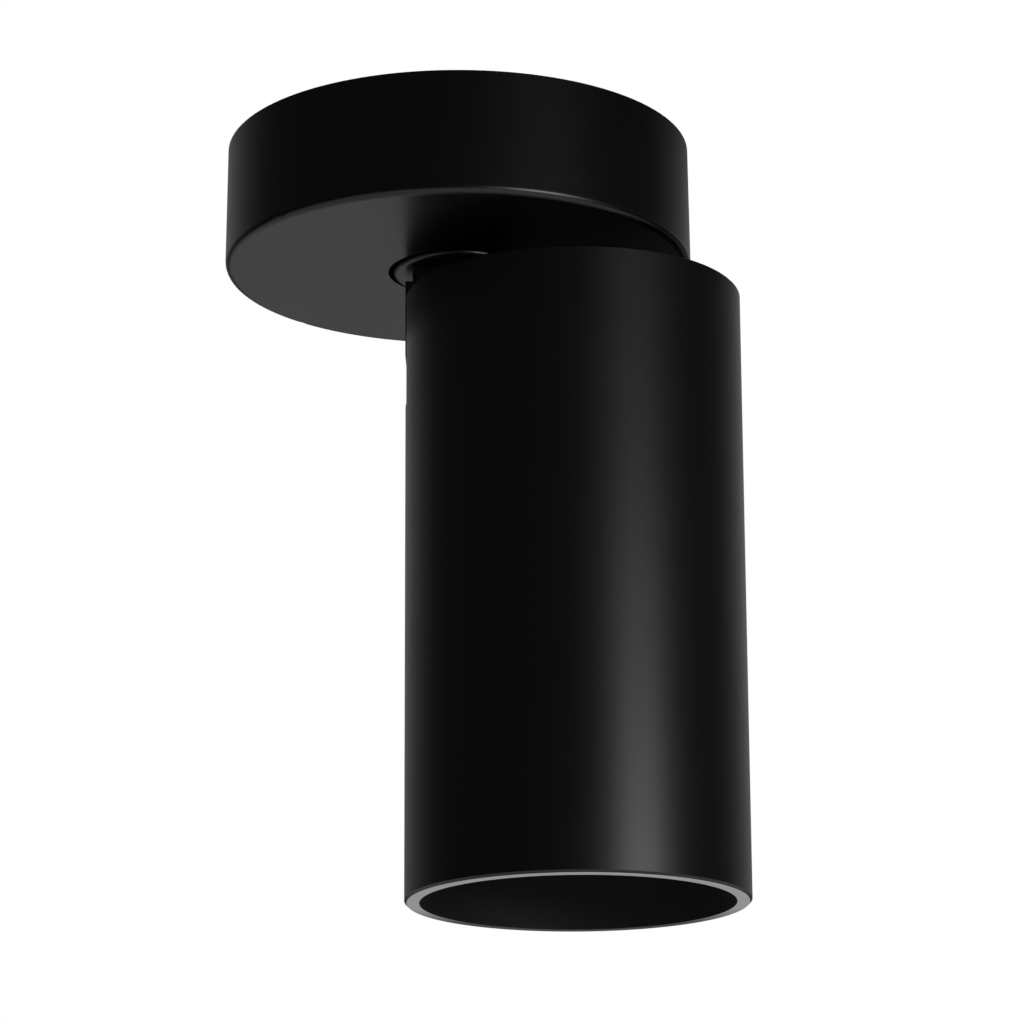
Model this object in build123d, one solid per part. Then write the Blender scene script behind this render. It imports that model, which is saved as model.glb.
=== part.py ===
from build123d import *
import os
from math import cos, radians, sin, sqrt

os.makedirs("parts", exist_ok=True)

# Surface mounted ceiling spotlight, in millimetres. The origin is the centre of the canopy's ceiling face.
# The light hangs below it along -Z. The head hangs off centre towards +X, and its mouth tilts towards -X.

# ---------------------------------------------------------------- driving dimensions
# Canopy, and the hole in its floor that the knuckle comes through
canopy_diameter = 84.0
canopy_height = 22.4
canopy_wall = 1.8
canopy_floor = 2.5
canopy_draft = 0.25
canopy_edge_radius = 1.3
canopy_inner_corner_radius = 1.0
knuckle_hole_diameter = 25.2

# Bracket that is screwed to the ceiling
bracket_width = 24.0
bracket_thickness = 1.5
bracket_tab_width = 12.0
bracket_tab_height = 13.0
bracket_tab_gap = 0.4
ceiling_slot_spacing = 54.0
ceiling_slot_length = 10.0
ceiling_slot_width = 4.6
cable_hole_diameter = 14.0
canopy_screw_diameter = 3.0
canopy_screw_drop = 9.0
screw_set_back = 0.3

# Terminal block and earth screw under the bracket
terminal_poles = 3
terminal_pitch = 8.0
terminal_depth = 11.5
terminal_height = 10.0
terminal_start_x = 8.5
terminal_wire_hole_diameter = 2.8
terminal_screw_diameter = 2.6
earth_screw_x = -14.5
earth_screw_diameter = 4.0
earth_barrel_radius = 1.2
earth_barrel_length = 5.0

# Swivel: a flange that turns in a rim on the canopy floor, under a retaining plate
flange_diameter = 35.0
flange_thickness = 2.4
friction_washer_thickness = 0.8
disc_spring_width = 3.2
disc_spring_height = 0.85
disc_spring_thickness = 0.4
swivel_rim_wall = 4.45
retaining_plate_thickness = 1.6
retaining_screw_count = 3
retaining_screw_diameter = 2.5
stop_pin_diameter = 1.8
stop_tooth_width = 2.2
knuckle_disc_diameter = 23.4
knuckle_disc_drop = 0.7

# Tongue of the knuckle, and the axle that it carries
neck_width = 16.3
tongue_thickness = 7.0
tongue_edge_radius = 0.6
shoulder_rise = 2.8
pivot_drop = 16.0
axle_diameter = 6.0
tilt_washer_diameter = 10.0
tilt_washer_thickness = 0.4
axle_washer_thickness = 0.5
lead_diameter = 3.0
lead_bore_diameter = 4.4
lead_bend_radius = 3.0
lead_outlet_rise = 6.2
lead_loop_reach = 6.5
lead_loop_drop = 5.0
lead_loop_radii = (5.5, 8.0)

# Head: its bore takes the lamp and the ring round it
head_wall = 2.6
head_length = 109.8
head_gap = 5.4
head_offset = 20.65
head_rim_chamfer = 0.45

# Clevis: a bent plate inside the head, whose two ears hold the axle
clevis_thickness = 2.0
clevis_bend_radius = 0.6
clevis_floor_gap = 0.5
clevis_cap_gap = 0.3
clevis_front_x = 8.0
clevis_corner_radius = 4.0
axle_head_diameter = 8.6
axle_head_thickness = 2.2
axle_thread_diameter = 5.0
axle_nut_width = 8.0
axle_nut_thickness = 3.0
axle_thread_end = 1.0
axle_socket_depth = 1.2

# Chassis and rear cap, which close the head above the lamp
chassis_thickness = 2.0
chassis_skirt_height = 8.0
chassis_screw_diameter = 3.0
rear_cap_thickness = 2.0
rear_cap_recess = 0.4
pillar_count = 3
pillar_circle_radius = 21.0
pillar_width = 5.5
small_screw_diameter = 3.0
pillar_screw_grip = 6.0

# Lampholder and lamp
lampholder_length = 25.0
lampholder_width = 17.0
lampholder_height = 14.0
lampholder_screw_spacing = 19.6
lampholder_corner_radius = 2.0
contact_thickness = 0.8
pin_spacing = 10.0
pin_hole_diameter = 6.0
pin_hole_depth = 10.0
bracket_sheet = 1.2
bracket_foot_reach = 4.0
holder_bracket_width = 12.0
lampholder_drop = 4.5
lampholder_screw_recess = 3.0
lamp_diameter = 50.0
lamp_length = 54.0
lamp_shell_height = 33.0
lamp_rim_height = 4.0
lamp_neck_diameter = 28.0
lamp_wall = 1.2
pin_length = 7.3
pin_diameter = 3.0
pin_head_diameter = 4.8
pin_head_height = 3.0
lens_thickness = 1.6
lens_recess = 0.4
board_rise = 12.0
board_thickness = 1.6
centring_ring_height = 6.0
centring_ring_wall = 2.15
centring_ring_overhang = 1.0

# Clearances
running_clearance = 0.05
fit_clearance = 0.1
body_clearance = 0.3
cut_overrun = 1.0

# ---------------------------------------------------------------- places worked out from the dimensions
CENTRED = (Align.CENTER, Align.CENTER, Align.MIN)

canopy_radius = canopy_diameter / 2
canopy_top_radius = canopy_radius - canopy_draft
canopy_inner_radius = canopy_top_radius - canopy_wall
underside_z = -canopy_height
floor_z = underside_z + canopy_floor
flange_low_z = floor_z + friction_washer_thickness + running_clearance
flange_top_z = flange_low_z + flange_thickness
plate_low_z = flange_top_z + disc_spring_height + fit_clearance
plate_top_z = plate_low_z + retaining_plate_thickness
flange_radius = flange_diameter / 2
swivel_rim_inner_radius = flange_radius + running_clearance
swivel_rim_outer_radius = swivel_rim_inner_radius + swivel_rim_wall
retaining_screw_circle_radius = (swivel_rim_inner_radius + swivel_rim_outer_radius) / 2
disc_spring_outer_radius = flange_radius - body_clearance
disc_spring_inner_radius = disc_spring_outer_radius - disc_spring_width
plate_bore_radius = disc_spring_inner_radius - 0.5
stop_pin_circle_radius = plate_bore_radius - stop_pin_diameter / 2 - 0.4

pivot_z = underside_z - pivot_drop
neck_half_width = neck_width / 2
tongue_half_thickness = tongue_thickness / 2
ear_inner_y = tongue_half_thickness + tilt_washer_thickness + running_clearance
ear_outer_y = ear_inner_y + clevis_thickness
outlet_z = pivot_z + lead_outlet_rise

lamp_radius = lamp_diameter / 2
centring_ring_inner_radius = lamp_radius + body_clearance
head_bore_radius = centring_ring_inner_radius + centring_ring_wall + running_clearance
head_radius = head_bore_radius + head_wall
head_rim_z = underside_z - head_gap
mouth_z = head_rim_z - head_length
head_left_x = head_offset - head_radius
# The tongue fills the slot out to the tube's surface, so it is as wide as that surface is far from the pivot
tongue_half_width = -head_left_x
shoulder_z = head_rim_z + shoulder_rise
clevis_floor_top_z = pivot_z - tongue_half_width - clevis_floor_gap
chassis_top_z = clevis_floor_top_z - clevis_thickness
chassis_low_z = chassis_top_z - chassis_thickness
slot_half_width = tongue_half_thickness + body_clearance
slot_low_z = pivot_z - tongue_half_width - body_clearance
cap_top_z = head_rim_z - rear_cap_recess
cap_low_z = cap_top_z - rear_cap_thickness
ear_top_z = cap_low_z - clevis_cap_gap

lampholder_top_z = chassis_low_z - lampholder_drop
lampholder_low_z = lampholder_top_z - lampholder_height
lamp_base_top_z = lampholder_low_z - body_clearance
pin_tip_z = lamp_base_top_z + pin_length
lamp_front_z = pin_tip_z - lamp_length
lamp_shell_top_z = lamp_front_z + lamp_shell_height


# ---------------------------------------------------------------- shapes used again and again
def upright(radius, low, high, x=0.0, y=0.0):
    """A cylinder along Z."""
    return Pos(x, y, low) * Cylinder(radius, high - low, align=CENTRED)


def across(radius, near, far, x, z):
    """A cylinder along Y."""
    return Pos(x, near, z) * Rot(-90, 0, 0) * Cylinder(radius, far - near, align=CENTRED)


def along(radius, near, far, y, z):
    """A cylinder along X."""
    return Pos(near, y, z) * Rot(0, 90, 0) * Cylinder(radius, far - near, align=CENTRED)


def ring(outer_radius, inner_radius, low, high, x=0.0, y=0.0):
    return upright(outer_radius, low, high, x, y) - upright(inner_radius, low, high, x, y)


def block(x, y, z):
    """A box between two limits on each axis."""
    size = [high - low for low, high in (x, y, z)]
    middle = [(low + high) / 2 for low, high in (x, y, z)]
    return Pos(*middle) * Box(*size)


def on_circle(radius, degrees, x=0.0):
    """A point on a circle about an upright axis at x."""
    return x + radius * cos(radians(degrees)), radius * sin(radians(degrees))


def pan_screw(diameter, head_z, tip_z, x, y):
    """A screw along Z with a low round head. The head sits against head_z, on the side away from the tip."""
    way = 1 if tip_z > head_z else -1
    head_end = head_z - way * 0.55 * diameter
    head = upright(0.9 * diameter, min(head_z, head_end), max(head_z, head_end), x, y)
    rim = head.faces().sort_by(Axis.Z)[0 if way > 0 else -1].edges()
    shank = upright(diameter / 2, min(head_z, tip_z), max(head_z, tip_z), x, y)
    return chamfer(rim, 0.2 * diameter) + shank


def lead(points, radii):
    """A lead along straight runs joined by tangent arcs."""
    route = FilletPolyline(*points, radius=radii) if radii else Polyline(*points)
    section = Plane(origin=route @ 0, z_dir=route % 0) * Circle(lead_diameter / 2)
    return sweep(section, path=route)


def bent_strip(plane, points, thickness, width, bend_radius):
    """A strip of sheet metal, bent along a centre line that lies in a plane."""
    line = FilletPolyline(*points, radius=bend_radius + thickness / 2)
    return extrude(plane * trace(line, line_width=thickness), width / 2, both=True)


def save(name, *solids):
    shape = solids[0] if len(solids) == 1 else Compound(children=list(solids))
    export_step(shape, f"parts/{name}.step")


# ---------------------------------------------------------------- fixed part: canopy, bracket, what they hold
retaining_screw_places = [
    on_circle(retaining_screw_circle_radius, 30 + number * 360 / retaining_screw_count)
    for number in range(retaining_screw_count)
]


def make_canopy():
    body = Pos(0, 0, underside_z) * Cone(canopy_radius, canopy_top_radius, canopy_height, align=CENTRED)
    body = fillet(body.edges().group_by(Axis.Z)[0], canopy_edge_radius)
    hollow = upright(canopy_inner_radius, floor_z, 0)
    hollow = fillet(hollow.edges().group_by(Axis.Z)[0], canopy_inner_corner_radius)
    rim = ring(swivel_rim_outer_radius, swivel_rim_inner_radius, floor_z, plate_low_z)
    body = body - hollow + rim - upright(knuckle_hole_diameter / 2, underside_z, floor_z)
    thread = retaining_screw_diameter / 2 + running_clearance
    for x, y in retaining_screw_places:
        body -= upright(thread, floor_z, plate_low_z, x, y)
    screw_hole = canopy_screw_diameter / 2 + fit_clearance
    return body - along(screw_hole, -canopy_radius, canopy_radius, 0, -canopy_screw_drop)


tab_outer_x = sqrt(canopy_inner_radius**2 - (bracket_tab_width / 2) ** 2) - bracket_tab_gap
tab_inner_x = tab_outer_x - bracket_thickness
bracket_bend_radius = 0.5 * bracket_thickness


def make_mounting_bracket():
    """A strap with a bent down tab at each end. The tabs are narrower than the strap."""
    middle_x = (tab_inner_x + tab_outer_x) / 2
    middle_z = -bracket_thickness / 2
    points = [(-middle_x, -bracket_tab_height), (-middle_x, middle_z), (middle_x, middle_z),
              (middle_x, -bracket_tab_height)]
    strap = bent_strip(Plane.XZ, points, bracket_thickness, bracket_width, bracket_bend_radius)
    shoulder_x = tab_inner_x - bracket_bend_radius - body_clearance
    shape = Rectangle(2 * shoulder_x, bracket_width) & Circle(canopy_inner_radius - bracket_tab_gap)
    shape += Rectangle(2 * tab_outer_x, bracket_tab_width)
    strap &= extrude(shape, -bracket_tab_height)
    strap -= upright(cable_hole_diameter / 2, -bracket_thickness, 0)
    slot = SlotOverall(ceiling_slot_length, ceiling_slot_width)
    for side in (-1, 1):
        place = Pos(side * ceiling_slot_spacing / 2, 0, -bracket_thickness)
        strap -= extrude(place * slot, bracket_thickness)
    strap -= upright(earth_screw_diameter / 2 + running_clearance, -bracket_thickness, 0, earth_screw_x)
    thread = canopy_screw_diameter / 2 + running_clearance
    return strap - along(thread, -tab_outer_x, tab_outer_x, 0, -canopy_screw_drop)


def make_canopy_screws():
    """Grub screws that go in from the sides, a little below the canopy's surface."""
    screws = []
    for side in (-1, 1):
        near, far = sorted((side * (tab_inner_x - 1.5), side * (canopy_top_radius - screw_set_back)))
        screw = along(canopy_screw_diameter / 2, near, far, 0, -canopy_screw_drop)
        socket_end = side * (canopy_top_radius - screw_set_back - 0.5 * canopy_screw_diameter)
        near, far = sorted((socket_end, side * canopy_radius))
        socket = extrude(RegularPolygon(0.3 * canopy_screw_diameter, 6), far - near)
        screws.append(screw - Pos(near, 0, -canopy_screw_drop) * Rot(0, 90, 0) * socket)
    return screws


terminal_length = terminal_poles * terminal_pitch
terminal_low_z = -bracket_thickness - terminal_height
terminal_end_x = terminal_start_x + terminal_depth
terminal_wire_z = terminal_low_z + 0.45 * terminal_height
terminal_rows_y = [(number - (terminal_poles - 1) / 2) * terminal_pitch for number in range(terminal_poles)]
terminal_columns_x = [terminal_start_x + share * terminal_depth for share in (0.25, 0.75)]


def make_terminal_block():
    half = terminal_length / 2
    body = block((terminal_start_x, terminal_end_x), (-half, half), (terminal_low_z, -bracket_thickness))
    for number in range(1, terminal_poles):
        groove_y = -half + number * terminal_pitch
        body -= block((terminal_start_x, terminal_end_x), (groove_y - 0.5, groove_y + 0.5),
                      (terminal_low_z, terminal_low_z + 0.3 * terminal_height))
    screw_well = terminal_screw_diameter / 2 + running_clearance
    for y in terminal_rows_y:
        body -= along(terminal_wire_hole_diameter / 2, terminal_start_x, terminal_end_x, y, terminal_wire_z)
        for x in terminal_columns_x:
            body -= upright(screw_well, terminal_low_z, terminal_wire_z, x, y)
    return body


def make_terminal_screws():
    radius = terminal_screw_diameter / 2
    low = terminal_low_z + 0.6
    high = terminal_wire_z - 0.2
    screws = []
    for y in terminal_rows_y:
        for x in terminal_columns_x:
            groove = block((x - radius, x + radius), (y - 0.25, y + 0.25), (low, low + 0.6))
            screws.append(upright(radius, low, high, x, y) - groove)
    return screws


earth_tag_low_z = -bracket_thickness - 0.8


def make_earth_tag():
    """A ring terminal, with the barrel that grips the earth core."""
    hole = earth_screw_diameter / 2 + running_clearance
    neck_end_y = 1.3 * earth_screw_diameter
    plate = upright(earth_screw_diameter, earth_tag_low_z, -bracket_thickness, earth_screw_x)
    neck_x = (earth_screw_x - earth_barrel_radius, earth_screw_x + earth_barrel_radius)
    plate += block(neck_x, (0, neck_end_y), (earth_tag_low_z, -bracket_thickness))
    barrel_z = -bracket_thickness - earth_barrel_radius
    barrel_end_y = neck_end_y + earth_barrel_length
    barrel = across(earth_barrel_radius, neck_end_y - 0.4, barrel_end_y, earth_screw_x, barrel_z)
    return plate + barrel - upright(hole, earth_tag_low_z, -bracket_thickness, earth_screw_x)


def make_friction_washer():
    inner = knuckle_hole_diameter / 2 + body_clearance
    return ring(flange_radius - fit_clearance, inner, floor_z, floor_z + friction_washer_thickness)


def make_disc_spring():
    """A shallow cone that presses the flange down on its washer."""
    low = flange_top_z + running_clearance
    high = low + disc_spring_height
    corners = [
        (disc_spring_outer_radius, low),
        (disc_spring_outer_radius, low + disc_spring_thickness),
        (disc_spring_inner_radius, high),
        (disc_spring_inner_radius, high - disc_spring_thickness),
    ]
    return revolve(Plane.XZ * Polygon(*corners, align=None), Axis.Z)


def make_retaining_plate():
    """A ring that holds the flange down, with a tooth that stops the pin at either end of the turn."""
    body = ring(swivel_rim_outer_radius, plate_bore_radius, plate_low_z, plate_top_z)
    tooth_x = (-plate_bore_radius - cut_overrun, -stop_pin_circle_radius + 0.7 * stop_pin_diameter)
    tooth_y = (-stop_tooth_width / 2, stop_tooth_width / 2)
    body += block(tooth_x, tooth_y, (plate_low_z, plate_top_z))
    hole = retaining_screw_diameter / 2 + fit_clearance
    for x, y in retaining_screw_places:
        body -= upright(hole, plate_low_z, plate_top_z, x, y)
    return body


def make_retaining_screws():
    tip_z = floor_z + body_clearance
    return [pan_screw(retaining_screw_diameter, plate_top_z, tip_z, x, y) for x, y in retaining_screw_places]


def make_canopy_lead():
    """From the middle pole of the terminal block to the top of the knuckle's bore."""
    points = [(terminal_start_x, 0, terminal_wire_z), (0, 0, terminal_wire_z), (0, 0, flange_top_z)]
    return lead(points, 0.6 * terminal_start_x)


save("canopy", make_canopy())
save("mounting_bracket", make_mounting_bracket())
save("canopy_screws", *make_canopy_screws())
save("terminal_block", make_terminal_block())
save("terminal_screws", *make_terminal_screws())
save("earth_tag", make_earth_tag())
save("earth_screw", pan_screw(earth_screw_diameter, earth_tag_low_z, -0.3, earth_screw_x, 0))
save("friction_washer", make_friction_washer())
save("disc_spring", make_disc_spring())
save("retaining_plate", make_retaining_plate())
save("retaining_screws", *make_retaining_screws())
save("canopy_lead", make_canopy_lead())


# ---------------------------------------------------------------- swivel: the knuckle and its stop pin
def make_swivel_knuckle():
    """Turned flange and disc, with a short neck and a tongue that is rounded about the tilt axle."""
    disc_low_z = underside_z - knuckle_disc_drop
    flange = upright(flange_radius, flange_low_z, flange_top_z)
    disc = upright(knuckle_disc_diameter / 2, disc_low_z, flange_low_z)
    disc = fillet(disc.edges().group_by(Axis.Z)[0], knuckle_disc_drop + 0.2)
    faces_y = (-tongue_half_thickness, tongue_half_thickness)
    neck = block((-neck_half_width, neck_half_width), faces_y, (shoulder_z - tongue_edge_radius, disc_low_z))
    neck = fillet(neck.edges().filter_by(Axis.Z), tongue_edge_radius)
    tongue = block((-tongue_half_width, tongue_half_width), faces_y, (pivot_z, shoulder_z))
    tongue += across(tongue_half_width, *faces_y, 0, pivot_z)
    tongue = fillet(tongue.faces().filter_by(Axis.Y).edges(), tongue_edge_radius)
    axle_bore = axle_diameter / 2 + running_clearance
    body = flange + disc + neck + tongue
    body -= across(axle_bore, -tongue_half_thickness, tongue_half_thickness, 0, pivot_z)
    body -= upright(lead_bore_diameter / 2, outlet_z, flange_top_z)
    body -= along(lead_bore_diameter / 2, 0, tongue_half_width, 0, outlet_z)
    body -= Pos(0, 0, outlet_z) * Sphere(lead_bore_diameter / 2)
    pin_seat_z = flange_top_z - flange_thickness / 2
    return body - upright(stop_pin_diameter / 2, pin_seat_z, flange_top_z, stop_pin_circle_radius)


def make_stop_pin():
    low = flange_top_z - flange_thickness / 2
    return upright(stop_pin_diameter / 2, low, plate_top_z, stop_pin_circle_radius)


def make_knuckle_lead():
    points = [(0, 0, flange_top_z), (0, 0, outlet_z), (tongue_half_width, 0, outlet_z)]
    return lead(points, lead_bend_radius)


save("swivel_knuckle", make_swivel_knuckle())
save("stop_pin", make_stop_pin())
save("knuckle_lead", make_knuckle_lead())


# ---------------------------------------------------------------- head: tube, caps and the clevis
slot_y = (-slot_half_width, slot_half_width)
slot_inner_x = head_offset - head_bore_radius / 2
grub_angles = (50.0, 130.0)
grub_z = chassis_low_z - 0.45 * chassis_skirt_height
pillar_places = [
    on_circle(pillar_circle_radius, number * 360 / pillar_count, head_offset)
    for number in range(pillar_count)
]
chassis_radius = head_bore_radius - fit_clearance
chassis_bore_radius = chassis_radius - chassis_thickness


def radial(radius, near, far, degrees, z):
    """A cylinder that points away from the head's axis."""
    turned = Pos(head_offset, 0, z) * Rot(0, 0, degrees)
    return turned * Pos(near, 0, 0) * Rot(0, 90, 0) * Cylinder(radius, far - near, align=CENTRED)


def make_head_tube():
    body = upright(head_radius, mouth_z, head_rim_z, head_offset)
    body = chamfer(body.edges().group_by(Axis.Z)[0], head_rim_chamfer)
    body = chamfer(body.edges().group_by(Axis.Z)[-1], head_rim_chamfer / 2)
    body -= upright(head_bore_radius, mouth_z, head_rim_z, head_offset)
    body -= block((head_left_x, slot_inner_x), slot_y, (slot_low_z, head_rim_z))
    hole = chassis_screw_diameter / 2 + fit_clearance
    for degrees in grub_angles:
        body -= radial(hole, head_bore_radius - cut_overrun, head_radius, degrees, grub_z)
    return body


def make_rear_cap():
    """Closes the top of the tube, with a slot that the tongue swings through."""
    body = upright(head_bore_radius - fit_clearance, cap_low_z, cap_top_z, head_offset)
    body -= block((head_left_x, tongue_half_width), slot_y, (cap_low_z, cap_top_z))
    body -= upright(slot_half_width, cap_low_z, cap_top_z, tongue_half_width)
    for x, y in pillar_places:
        body -= countersunk(fit_clearance, cap_low_z, x, y)
    return body


def countersunk(clearance, tip_z, x, y):
    """A countersunk screw, flush with the top of the rear cap. With a clearance it is the hole for one."""
    radius = small_screw_diameter / 2 + clearance
    head_height = 0.5 * small_screw_diameter
    head = Pos(x, y, cap_top_z - head_height) * Cone(radius, 2 * radius, head_height, align=CENTRED)
    return head + upright(radius, tip_z, cap_top_z - head_height, x, y)


def make_pillars():
    """Hexagonal pillars, threaded right through, that carry the rear cap above the chassis plate."""
    flats = RegularPolygon(pillar_width / 2, 6, major_radius=False)
    thread = small_screw_diameter / 2 + running_clearance
    pillars = []
    for x, y in pillar_places:
        pillar = extrude(Pos(x, y, chassis_top_z) * flats, cap_low_z - chassis_top_z)
        pillars.append(pillar - upright(thread, chassis_top_z, cap_low_z, x, y))
    return pillars


def make_cap_screws():
    return [countersunk(0, cap_low_z - pillar_screw_grip, x, y) for x, y in pillar_places]


def make_pillar_screws():
    tip_z = chassis_top_z + pillar_screw_grip
    return [pan_screw(small_screw_diameter, chassis_low_z, tip_z, x, y) for x, y in pillar_places]


clevis_inner_x = head_offset - sqrt((head_bore_radius - fit_clearance) ** 2 - ear_outer_y**2) + body_clearance
clevis_screw_xs = (-1.0, 5.0)


def make_clevis():
    """One plate bent to a U, with rounded ears."""
    ear_middle_y = (ear_inner_y + ear_outer_y) / 2
    floor_middle_z = (chassis_top_z + clevis_floor_top_z) / 2
    bend = [(-ear_middle_y, ear_top_z), (-ear_middle_y, floor_middle_z), (ear_middle_y, floor_middle_z),
            (ear_middle_y, ear_top_z)]
    width = 2 * max(clevis_front_x, -clevis_inner_x)
    plate = bent_strip(Plane.YZ, bend, clevis_thickness, width, clevis_bend_radius)
    outline = block((clevis_inner_x, clevis_front_x), (-ear_outer_y, ear_outer_y), (chassis_top_z, ear_top_z))
    tops = outline.faces().sort_by(Axis.Z)[-1].edges().filter_by(Axis.Y)
    body = plate & fillet(tops, clevis_corner_radius)
    body -= across(axle_diameter / 2 + running_clearance, -ear_outer_y, ear_outer_y, 0, pivot_z)
    thread = small_screw_diameter / 2 + running_clearance
    for x in clevis_screw_xs:
        body -= upright(thread, chassis_top_z, clevis_floor_top_z, x)
    return body


def make_clevis_screws():
    tip_z = clevis_floor_top_z - fit_clearance
    return [pan_screw(small_screw_diameter, chassis_low_z, tip_z, x, 0) for x in clevis_screw_xs]


axle_head_y = ear_outer_y + axle_washer_thickness


def make_tilt_axle():
    """A shoulder screw along Y, with its head at the front and its nut at the back."""
    end = axle_head_y + axle_nut_thickness + axle_thread_end
    shank = across(axle_diameter / 2, -axle_head_y, ear_outer_y, 0, pivot_z)
    shank += across(axle_thread_diameter / 2, ear_outer_y, end, 0, pivot_z)
    head = across(axle_head_diameter / 2, -axle_head_y - axle_head_thickness, -axle_head_y, 0, pivot_z)
    head = fillet(head.edges().group_by(Axis.Y)[0], axle_head_thickness / 4)
    socket = extrude(Plane.XZ * RegularPolygon(0.35 * axle_diameter, 6), axle_socket_depth)
    return shank + head - Pos(0, -axle_head_y - axle_head_thickness + axle_socket_depth, pivot_z) * socket


def make_axle_nut():
    flats = Rot(0, 0, 30) * RegularPolygon(axle_nut_width / 2, 6, major_radius=False)
    nut = extrude(Plane.XZ * flats, -axle_nut_thickness)
    nut = Pos(0, axle_head_y, pivot_z) * nut
    thread = axle_thread_diameter / 2 + running_clearance
    return nut - across(thread, axle_head_y, axle_head_y + axle_nut_thickness, 0, pivot_z)


def make_washers(near, thickness, outer_radius):
    """A washer on each side of the joint, from near outwards along Y."""
    hole = axle_diameter / 2 + running_clearance
    washers = []
    for low in (near, -near - thickness):
        washers.append(across(outer_radius, low, low + thickness, 0, pivot_z)
                       - across(hole, low, low + thickness, 0, pivot_z))
    return washers


grommet_x = clevis_front_x
grommet_y = 11.0
grommet_flange_radius = 3.0
grommet_lip = 0.8
grommet_hole_radius = 2.4


def make_chassis_plate():
    """A round plate with a skirt, which the two grub screws in the tube hold."""
    body = upright(chassis_radius, chassis_low_z - chassis_skirt_height, chassis_top_z, head_offset)
    body = chamfer(body.edges().group_by(Axis.Z)[-1], chassis_thickness / 4)
    body -= upright(chassis_bore_radius, chassis_low_z - chassis_skirt_height, chassis_low_z, head_offset)
    hole = small_screw_diameter / 2 + fit_clearance
    feet = [(head_offset, -bracket_foot_y), (head_offset, bracket_foot_y)]
    for x, y in pillar_places + feet + [(x, 0) for x in clevis_screw_xs]:
        body -= upright(hole, chassis_low_z, chassis_top_z, x, y)
    thread = chassis_screw_diameter / 2 + running_clearance
    for degrees in grub_angles:
        body -= radial(thread, chassis_bore_radius - cut_overrun, head_radius, degrees, grub_z)
    return body - upright(grommet_hole_radius, chassis_low_z, chassis_top_z, grommet_x, grommet_y)


def make_chassis_screws():
    """Grub screws, a little below the tube's surface."""
    inner = chassis_bore_radius - 0.5
    outer = head_radius - body_clearance
    socket_end = outer - 0.5 * chassis_screw_diameter
    screws = []
    for degrees in grub_angles:
        screw = radial(chassis_screw_diameter / 2, inner, outer, degrees, grub_z)
        screws.append(screw - radial(0.3 * chassis_screw_diameter, socket_end, outer, degrees, grub_z))
    return screws


def make_grommet():
    """A rubber bush that keeps the lead off the edge of its hole."""
    low = chassis_low_z - grommet_lip
    high = chassis_top_z + grommet_lip
    body = upright(grommet_hole_radius - running_clearance, low, high, grommet_x, grommet_y)
    for lip_z in (low, chassis_top_z):
        body += upright(grommet_flange_radius, lip_z, lip_z + grommet_lip, grommet_x, grommet_y)
    return body - upright(lead_diameter / 2 + running_clearance, low, high, grommet_x, grommet_y)


# ---------------------------------------------------------------- head: lampholder and its bracket
bracket_leg_y = lampholder_length / 2 + 1.5
bracket_foot_y = bracket_leg_y + bracket_foot_reach
bracket_foot_end_y = bracket_foot_y + small_screw_diameter
holder_screw_y = lampholder_screw_spacing / 2


def make_lampholder_bracket():
    """A bent strap: two feet on the chassis plate, two legs, and a bridge for the lampholder."""
    foot_z = chassis_low_z - bracket_sheet / 2
    bridge_z = lampholder_top_z + bracket_sheet / 2
    half = [(bracket_foot_end_y, foot_z), (bracket_leg_y, foot_z), (bracket_leg_y, bridge_z)]
    points = half + [(-y, z) for y, z in reversed(half)]
    plane = Plane.YZ.offset(head_offset)
    body = bent_strip(plane, points, bracket_sheet, holder_bracket_width, 0.5 * bracket_sheet)
    hole = small_screw_diameter / 2 + fit_clearance
    for side in (-1, 1):
        body -= upright(hole, foot_z - bracket_sheet, chassis_low_z, head_offset, side * bracket_foot_y)
        body -= upright(hole, lampholder_top_z, bridge_z + bracket_sheet, head_offset, side * holder_screw_y)
    return body


def make_bracket_screws():
    low = chassis_low_z - bracket_sheet
    return [pan_screw(small_screw_diameter, low, chassis_top_z + 1, head_offset, side * bracket_foot_y)
            for side in (-1, 1)]


holder_screw_seat_z = lampholder_low_z + lampholder_screw_recess


def make_lampholder():
    half_x = lampholder_width / 2
    half_y = lampholder_length / 2
    x_limits = (head_offset - half_x, head_offset + half_x)
    body = block(x_limits, (-half_y, half_y), (lampholder_low_z, lampholder_top_z))
    body = fillet(body.edges().filter_by(Axis.Z), lampholder_corner_radius)
    pin_hole_top_z = lampholder_low_z + pin_hole_depth
    screw_hole = small_screw_diameter / 2 + fit_clearance
    for side in (-1, 1):
        pin_y = side * pin_spacing / 2
        screw_y = side * holder_screw_y
        body -= upright(pin_hole_diameter / 2, lampholder_low_z, pin_hole_top_z, head_offset, pin_y)
        body -= upright(screw_hole, lampholder_low_z, lampholder_top_z, head_offset, screw_y)
        body -= upright(small_screw_diameter, lampholder_low_z, holder_screw_seat_z, head_offset, screw_y)
    return body


def make_lampholder_screws():
    tip_z = lampholder_top_z + bracket_sheet
    return [pan_screw(small_screw_diameter, holder_screw_seat_z, tip_z, head_offset, side * holder_screw_y)
            for side in (-1, 1)]


def make_lampholder_contacts():
    top = lampholder_low_z + pin_hole_depth
    low = top - contact_thickness
    radius = pin_hole_diameter / 2 - fit_clearance
    return [upright(radius, low, top, head_offset, side * pin_spacing / 2) for side in (-1, 1)]


def make_centring_ring():
    """Keeps the lamp in the middle of the tube, round its rim."""
    outer = centring_ring_inner_radius + centring_ring_wall
    low = lamp_front_z - centring_ring_overhang
    return ring(outer, centring_ring_inner_radius, low, low + centring_ring_height, head_offset)


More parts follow.
